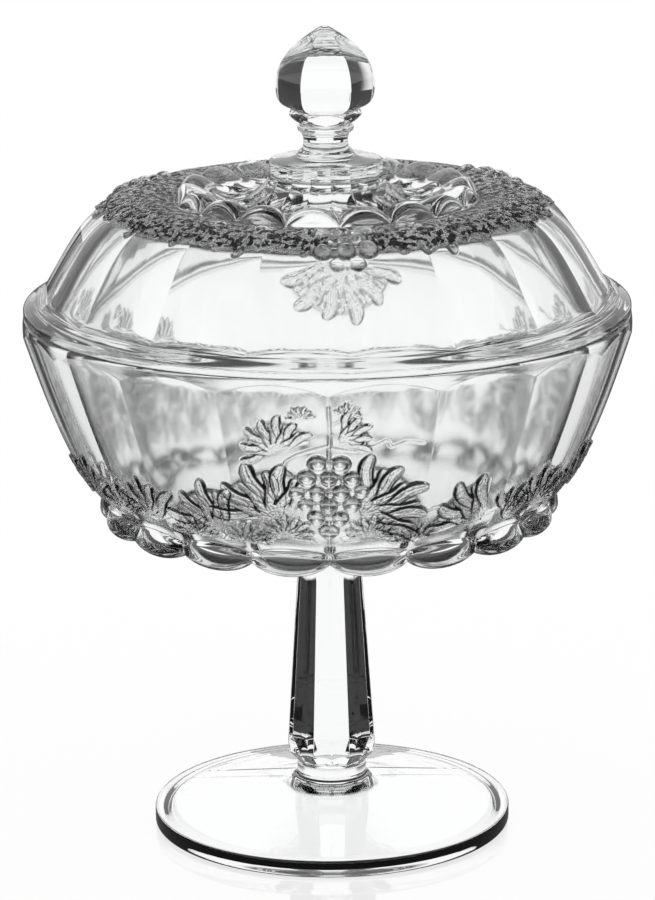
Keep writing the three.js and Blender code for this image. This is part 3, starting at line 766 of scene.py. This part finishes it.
def cover_relief(azimuth, arc):
    relief = Relief(azimuth, arc, on_cover(arc, COVER_CURVE)[0], seed=8)
    for leaf in COVER_LEAVES:
        relief.leaf(*leaf)
    sheet = smoothstep(GARLAND_TOP - 6, GARLAND_TOP, arc)
    relief.height = np.maximum(relief.height, sheet * LEAF_RISE * GARLAND_SHEET)
    relief.grained = np.maximum(relief.grained, sheet)
    # Painted shade: the raised garland is tinted dark, and the leaves' painted outlines are
    # weakened.
    raised = relief.height > LEAF_RISE / 4
    garland_painted_shade = np.maximum(sheet, smoothstep(*GARLAND_FADE, arc)) * raised
    relief.painted_shade = np.maximum(relief.painted_shade * COVER_LEAF_PAINTED_SHADE, garland_painted_shade)
    relief.stipple(COVER_STIPPLE)
    relief.bunch(COVER_BUNCH_TOP, COVER_BUNCH_ROWS, lambda up: on_cover(up, COVER_CURVE)[0])
    return relief


def dome_rings(skin):
    """The dome with its ornament, over its top and down to the foot of the crown."""
    skin.columns = PLAIN_COLUMNS
    share = flat_factor(azimuths(PLAIN_COLUMNS), PANELS)
    for arc in np.arange(0.6, COVER_PLAIN_ARC, 0.9):
        radius, z = on_cover(arc, COVER_CURVE)
        skin.ring(radius * share, z)
    skin.columns = RELIEF_COLUMNS
    azimuth = azimuths(RELIEF_COLUMNS)
    share = flat_factor(azimuth, PANELS)
    whole = COVER_ARC[-1]
    arc = np.arange(COVER_PLAIN_ARC, whole, DOME_ROW_PITCH)[:, None]
    third = RELIEF_COLUMNS // 3
    relief = cover_relief(azimuth[:third], np.broadcast_to(arc, (len(arc), third)))
    skin.mark("grained", thirds(relief.grained))
    # The painted shade of the relief, a dark tint for the glass.
    skin.mark("painted_shade", thirds(relief.painted_shade))
    height = thirds(relief.height) * smoothstep(0, COVER_FADE, arc - COVER_PLAIN_ARC)
    height = height * smoothstep(0, COVER_FADE, whole - arc)
    radius, z = on_cover(arc, COVER_CURVE)
    out_radius, out_z = on_cover(arc, COVER_NORMAL)
    flat = 1 - smoothstep(*DOME_ROUNDS_OFF, arc / whole)
    skin.rings(zip(flattened(radius, share, flat) + height * out_radius, z + height * out_z))


def crown_rings(skin):
    """The crown of scallops, the fluted trough inside it, and the collar under the finial."""
    skin.columns = PLAIN_COLUMNS
    azimuth = azimuths(PLAIN_COLUMNS)
    share = flat_factor(azimuth, PANELS)
    swell = swelling(azimuth)
    foot_radius, foot_z = CROWN_FOOT
    peak = CROWN_CUSP_Z + swell * (CROWN_PEAK_Z - CROWN_CUSP_Z)
    skin.bend((CROWN_RADIUS, foot_z), (foot_radius - CROWN_RADIUS, peak - foot_z),
              90 * portions(9))
    radius, z = TROUGH
    radius, z = radius * share - FLUTE_DEPTH * swell / 2, z + FLUTE_DEPTH * (0.5 - swell)
    for t in portions(14):
        fall = 0.5 - 0.5 * math.cos(math.pi * t)
        skin.ring(CROWN_RADIUS + (radius - CROWN_RADIUS) * t, peak + (z - peak) * fall)
    trumpet = sweep(TROUGH, 180, 7, (COLLAR_RADIUS, COLLAR_LOW_Z), 90, 5, steps=16)
    for t, (radius, z) in zip(portions(16), trumpet[1:]):
        depth = FLUTE_DEPTH * (1 - t) ** 3
        skin.ring(radius * share - depth * swell / 2, z + depth * (0.5 - swell))
    edge_z = COLLAR_HIGH_Z - COLLAR_ROUND
    for t in portions(5):
        skin.ring(COLLAR_RADIUS * share, COLLAR_LOW_Z + (edge_z - COLLAR_LOW_Z) * t)
    skin.bend(((COLLAR_RADIUS - COLLAR_ROUND) * share, edge_z),
              (COLLAR_ROUND * share, COLLAR_ROUND), (30, 60, 90))
    skin.rings(sweep((COLLAR_RADIUS - 2, COLLAR_HIGH_Z + 0.1), 170, 3, (9.9, FINIAL_Z), 130, 1,
                     steps=6))


def finial_rings(skin):
    """The stalk with its bead, the scalloped ruff and the bud."""
    skin.columns, skin.turn = INNER_COLUMNS, FINIAL_TURN
    azimuth = azimuths(INNER_COLUMNS, FINIAL_TURN)
    share = flat_factor(azimuth, FINIAL_SIDES, FINIAL_TURN + 180 / FINIAL_SIDES)
    scallop = scallops(azimuth - FINIAL_TURN, FINIAL_SIDES)

    def ring(radius, height, flat=0.0):
        skin.ring(flattened(radius, share, flat), FINIAL_Z + height)

    stalk = np.concatenate([sweep(STALK_FOOT, 110, 1.5, STALK_WAIST, 90, 2, steps=8),
                            sweep(STALK_WAIST, 90, 1.5, STALK_TOP, 60, 1, steps=6)[1:]])
    for radius, height in stalk:
        ring(radius, height)
    (radius, height), size = BEAD
    skin.bend((radius, FINIAL_Z + height), size, np.linspace(-80, 80, 9))
    (radius, height), (lip_radius, lip_height) = RUFF_FOOT, RUFF_LIP
    for t in portions(5):
        ring(radius + (lip_radius - radius) * t,
             height + (lip_height - height) * t ** 1.5 - RUFF_SCALLOP * scallop * t, t)
    radius, height = RUFF_TOP
    for t in portions(4):
        ring(lip_radius + (radius - lip_radius) * t * t, lip_height + (height - lip_height) * t, 1)
    bud = np.concatenate([sweep(BUD_FOOT, 20, 4, BUD_WIDEST, 90, 4.5, steps=12),
                          sweep(BUD_WIDEST, 90, 9, BUD_TIP, 150, 12, steps=40)[1:-1]])
    for radius, height in bud:
        ring(radius, height, BUD_FLATNESS)


def make_cover():
    skin = Skin()
    skin.wavy = 0.6
    skin.pole(CEILING_Z)
    hollow_rings(skin)
    skin.wavy = 0.0
    flange_rings(skin)
    dome_rings(skin)
    crown_rings(skin)
    finial_rings(skin)
    skin.pole(FINIAL_Z + BUD_POLE)
    mesh = skin.mesh("cover_glass")
    mesh.transform(Matrix.Rotation(math.radians(COVER_TURN), 4, "Z"))
    return mesh


def feed(tree, socket, value):
    """Links a node's input to a socket, or sets it to a number or a colour."""
    if isinstance(value, bpy.types.NodeSocket):
        tree.links.new(value, socket)
    else:
        socket.default_value = value


def colour(value):
    """A socket or a colour as it is, and a number as a grey."""
    return (value, value, value, 1) if isinstance(value, (int, float)) else value


def calculate(tree, operation, *values):
    """The output of a math node whose inputs are sockets or numbers."""
    node = tree.nodes.new("ShaderNodeMath")
    node.operation = operation
    for socket, value in zip(node.inputs, values):
        feed(tree, socket, value)
    return node.outputs[0]


def sectors(tree, vector, stops):
    """Brightness by the compass direction of a vector."""
    split = tree.nodes.new("ShaderNodeSeparateXYZ")
    tree.links.new(vector, split.inputs[0])
    angle = calculate(tree, "ARCTAN2", split.outputs["X"], split.outputs["Y"])
    turned = calculate(tree, "SUBTRACT", angle, math.radians(SECTOR_TURN))
    share = calculate(tree, "DIVIDE", calculate(tree, "ABSOLUTE", turned), math.pi)
    ramp = tree.nodes.new("ShaderNodeValToRGB")
    tree.links.new(share, ramp.inputs[0])
    elements = ramp.color_ramp.elements
    while len(elements) < len(stops):
        elements.new(0.5)
    for element, (degrees, value) in zip(elements, stops):
        element.position = degrees / 180
        element.color = colour(value)
    return ramp.outputs["Color"]


def step_over(tree, value, limits):
    """0 below the limits, 1 above them."""
    node = tree.nodes.new("ShaderNodeMapRange")
    tree.links.new(value, node.inputs["Value"])
    node.inputs["From Min"].default_value, node.inputs["From Max"].default_value = limits
    return node.outputs[0]


def blend(tree, share, low, high):
    """A colour between two, each a socket, a colour or a grey."""
    node = tree.nodes.new("ShaderNodeMix")
    node.data_type = "RGBA"
    tree.links.new(share, node.inputs["Factor"])
    feed(tree, node.inputs[6], colour(low))
    feed(tree, node.inputs[7], colour(high))
    return node.outputs[2]


# Pressed glass: faint waves all over and deeper, slightly rough ones on the inner faces, and a
# grain
# on the leaves. Painted shade: a dark tint on the edges of the relief, the rims of the berries and
# the cover's garland, broken up by speckles where it is grained. Scales are to a metre.
GLASS_IOR = 1.52
GLASS_CLEAR = (0.985, 0.99, 0.99, 1)
PAINTED_SHADE_GREY = 0.0
SPECKLE_LIGHT = 0.95
SPECKLE_SCALE = 480
SPECKLE_LIMITS = (0.49, 0.54)
SPECKLED_FROM = (0.4, 0.8)
WAVE_SCALE = 55
WAVE_STRENGTH = 0.08
INNER_WAVE_SCALE = 42
INNER_WAVE_DEPTH = 0.7 * MM
INNER_WAVE_STRETCH = (1, 1, 0.5)
INNER_ROUGHNESS = 0.12
GRAIN_SCALE = 1800
GRAIN_DEPTH = 0.4 * MM


def noise(tree, scale, detail, stretch=(1, 1, 1)):
    place = tree.nodes.new("ShaderNodeTexCoord")
    stretched = tree.nodes.new("ShaderNodeVectorMath")
    stretched.operation = "MULTIPLY"
    stretched.inputs[1].default_value = stretch
    tree.links.new(place.outputs["Object"], stretched.inputs[0])
    node = tree.nodes.new("ShaderNodeTexNoise")
    node.inputs["Scale"].default_value = scale
    node.inputs["Detail"].default_value = detail
    tree.links.new(stretched.outputs[0], node.inputs["Vector"])
    return node.outputs["Fac"]


def bump(tree, height, strength, distance, normal=None):
    node = tree.nodes.new("ShaderNodeBump")
    node.inputs["Distance"].default_value = distance
    tree.links.new(height, node.inputs["Height"])
    feed(tree, node.inputs["Strength"], strength)
    if normal:
        tree.links.new(normal, node.inputs["Normal"])
    return node.outputs["Normal"]


def glass_material():
    material = bpy.data.materials.new("clear_pressed_glass")
    material.use_nodes = True
    tree = material.node_tree
    shader = tree.nodes["Principled BSDF"]
    shader.inputs["Transmission Weight"].default_value = 1
    shader.inputs["IOR"].default_value = GLASS_IOR
    amounts = {}
    for name in MARKS:
        node = tree.nodes.new("ShaderNodeAttribute")
        node.attribute_name = name
        amounts[name] = node.outputs["Fac"]
    softness = calculate(tree, "MULTIPLY", amounts["wavy"], INNER_ROUGHNESS)
    tree.links.new(softness, shader.inputs["Roughness"])
    faint = bump(tree, noise(tree, WAVE_SCALE, 2), WAVE_STRENGTH, MM)
    inner = noise(tree, INNER_WAVE_SCALE, 1, INNER_WAVE_STRETCH)
    wavy = bump(tree, inner, amounts["wavy"], INNER_WAVE_DEPTH, faint)
    grained = bump(tree, noise(tree, GRAIN_SCALE, 2), amounts["grained"], GRAIN_DEPTH, wavy)
    tree.links.new(grained, shader.inputs["Normal"])
    # Painted shade: the relief's dark tint over the clear glass, speckled where it is grained.
    speckles = step_over(tree, noise(tree, SPECKLE_SCALE, 1), SPECKLE_LIMITS)
    speckled_shade = blend(tree, speckles, PAINTED_SHADE_GREY, SPECKLE_LIGHT)
    edge = blend(tree, step_over(tree, amounts["grained"], SPECKLED_FROM), PAINTED_SHADE_GREY, speckled_shade)
    tree.links.new(blend(tree, amounts["painted_shade"], GLASS_CLEAR, edge), shader.inputs["Base Color"])
    return material


def add_piece(mesh, body, material, nodes):
    piece = bpy.data.objects.new(mesh.name, mesh)
    bpy.context.scene.collection.objects.link(piece)
    mesh.materials.append(material)
    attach(piece, body)
    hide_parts(*nodes)


# The camera as fitted to the photo. Its place and clip end are in metres, its roll in radians.
CAMERA_LENS = 157.97
CAMERA_SENSOR = 36
CAMERA_PLACE = (-0.0004, -1.3243, 0.4827)
CAMERA_DOWN = 14.742
CAMERA_ROLL = -0.0098
CAMERA_CLIP_END = 50


def make_camera():
    data = bpy.data.cameras.new("camera")
    data.sensor_fit = "VERTICAL"
    data.sensor_height = CAMERA_SENSOR
    data.lens = CAMERA_LENS
    data.clip_end = CAMERA_CLIP_END
    camera = bpy.data.objects.new("camera", data)
    bpy.context.scene.collection.objects.link(camera)
    camera.matrix_world = (Matrix.Translation(CAMERA_PLACE)
                           @ Matrix.Rotation(math.radians(90 - CAMERA_DOWN), 4, "X")
                           @ Matrix.Rotation(CAMERA_ROLL, 4, "Z"))
    bpy.context.scene.camera = camera


# The studio is white to the camera. What has passed through the glass sees brightness by compass
# direction instead, as (degrees from straight behind the object, brightness). The dark sectors
# stand for the black cards that draw the edges of glass.
SECTOR_TURN = 1.5
BEHIND_THE_CAMERA = ((102, 1), (105, 0.1), (112, 0.1), (115, 1), (153, 1), (156, 0.1), (162, 0.1),
                     (165, 1), (180, 1))
NEAR_FLOOR = ((0, 1), (14, 1), (18, 0), (40, 0), (43, 0.85)) + BEHIND_THE_CAMERA
FAR_FLOOR = ((0, 1), (32, 1), (35, 0), (42, 0), (45, 0.9)) + BEHIND_THE_CAMERA
LOW_SKY = ((0, 1), (14, 1), (17, 0), (80, 0), (84, 1), (180, 1))
HIGH_SKY = ((0, 0), (80, 0), (84, 1), (180, 1))
# Reflections see the floor, and what is overhead from these sines of the angle above level, only
# at this brightness, so that the glass stays clear.
IN_GLOSS = 0.15
OVERHEAD = (0.7, 0.8)
# Sines of the angles above level over which the low sky gives way to the high sky.
LOW_TO_HIGH = (0.62, 0.7)
# Distances in metres from the axis, over which the floor goes from white to near to far.
UNDER_FOOT = (0.066, 0.076)
NEAR_TO_FAR = (0.33, 0.43)
# The floor: half its side and how far it lies below the foot, in metres, and its looks.
FLOOR_HALF = 6.0
FLOOR_DROP = 0.0002
FLOOR_MATT = 0.97
FLOOR_ROUGHNESS = 0.5
FLOOR_GLOW = 0.9
FLOOR_IOR = 1.5


def make_world():
    world = bpy.data.worlds.new("studio")
    bpy.context.scene.world = world
    world.use_nodes = True
    tree = world.node_tree
    tree.nodes.clear()
    place = tree.nodes.new("ShaderNodeTexCoord").outputs["Generated"]
    split = tree.nodes.new("ShaderNodeSeparateXYZ")
    tree.links.new(place, split.inputs[0])
    high = step_over(tree, split.outputs["Z"], LOW_TO_HIGH)
    pattern = blend(tree, high, sectors(tree, place, LOW_SKY), sectors(tree, place, HIGH_SKY))
    path = tree.nodes.new("ShaderNodeLightPath")
    overhead = calculate(tree, "MULTIPLY", step_over(tree, split.outputs["Z"], OVERHEAD),
                         path.outputs["Is Glossy Ray"])
    plain = blend(tree, overhead, 1, IN_GLOSS)
    background = tree.nodes.new("ShaderNodeBackground")
    tree.links.new(blend(tree, path.outputs["Is Transmission Ray"], plain, pattern),
                   background.inputs["Color"])
    out = tree.nodes.new("ShaderNodeOutputWorld")
    tree.links.new(background.outputs[0], out.inputs["Surface"])


def floor_material():
    """White to the camera, with soft shadows and a faint mirror image. Dim to reflections, and
    patterned to what has passed through the glass."""
    material = bpy.data.materials.new("floor")
    material.use_nodes = True
    tree = material.node_tree
    matt = tree.nodes["Principled BSDF"]
    matt.inputs["Base Color"].default_value = (FLOOR_MATT, FLOOR_MATT, FLOOR_MATT, 1)
    matt.inputs["Roughness"].default_value = FLOOR_ROUGHNESS
    position = tree.nodes.new("ShaderNodeNewGeometry").outputs["Position"]
    distance = tree.nodes.new("ShaderNodeVectorMath")
    distance.operation = "LENGTH"
    tree.links.new(position, distance.inputs[0])
    away = distance.outputs["Value"]
    pattern = blend(tree, step_over(tree, away, NEAR_TO_FAR), sectors(tree, position, NEAR_FLOOR),
                    sectors(tree, position, FAR_FLOOR))
    pattern = blend(tree, step_over(tree, away, UNDER_FOOT), 1, pattern)
    path = tree.nodes.new("ShaderNodeLightPath")

    def emission(value):
        node = tree.nodes.new("ShaderNodeEmission")
        feed(tree, node.inputs["Color"], colour(value))
        return node.outputs[0]

    def mix(*values):
        node = tree.nodes.new("ShaderNodeMixShader")
        for socket, value in zip(node.inputs, values):
            feed(tree, socket, value)
        return node.outputs[0]

    mirror = tree.nodes.new("ShaderNodeBsdfGlossy")
    mirror.inputs["Color"].default_value = (1, 1, 1, 1)
    mirror.inputs["Roughness"].default_value = 0
    fresnel = tree.nodes.new("ShaderNodeFresnel")
    fresnel.inputs["IOR"].default_value = FLOOR_IOR
    plain = mix(FLOOR_GLOW, matt.outputs[0], emission(1))
    seen = mix(fresnel.outputs[0], plain, mirror.outputs[0])
    seen = mix(path.outputs["Is Glossy Ray"], seen, emission(IN_GLOSS))
    seen = mix(path.outputs["Is Transmission Ray"], seen, emission(pattern))
    tree.links.new(seen, tree.nodes["Material Output"].inputs["Surface"])
    return material


def make_floor():
    mesh = bpy.data.meshes.new("floor")
    corners = ((-1, -1), (1, -1), (1, 1), (-1, 1))
    mesh.from_pydata([(x * FLOOR_HALF, y * FLOOR_HALF, -FLOOR_DROP) for x, y in corners], [],
                     [(0, 1, 2, 3)])
    mesh.materials.append(floor_material())
    floor = bpy.data.objects.new("floor", mesh)
    bpy.context.scene.collection.objects.link(floor)


glass = glass_material()
add_piece(make_footed_bowl(), "footed_bowl", glass, ("foot", "stem", "bowl"))
add_piece(make_cover(), "lid", glass, ("cover", "finial"))
make_floor()
make_world()
make_camera()
bpy.context.scene.view_settings.view_transform = "Standard"
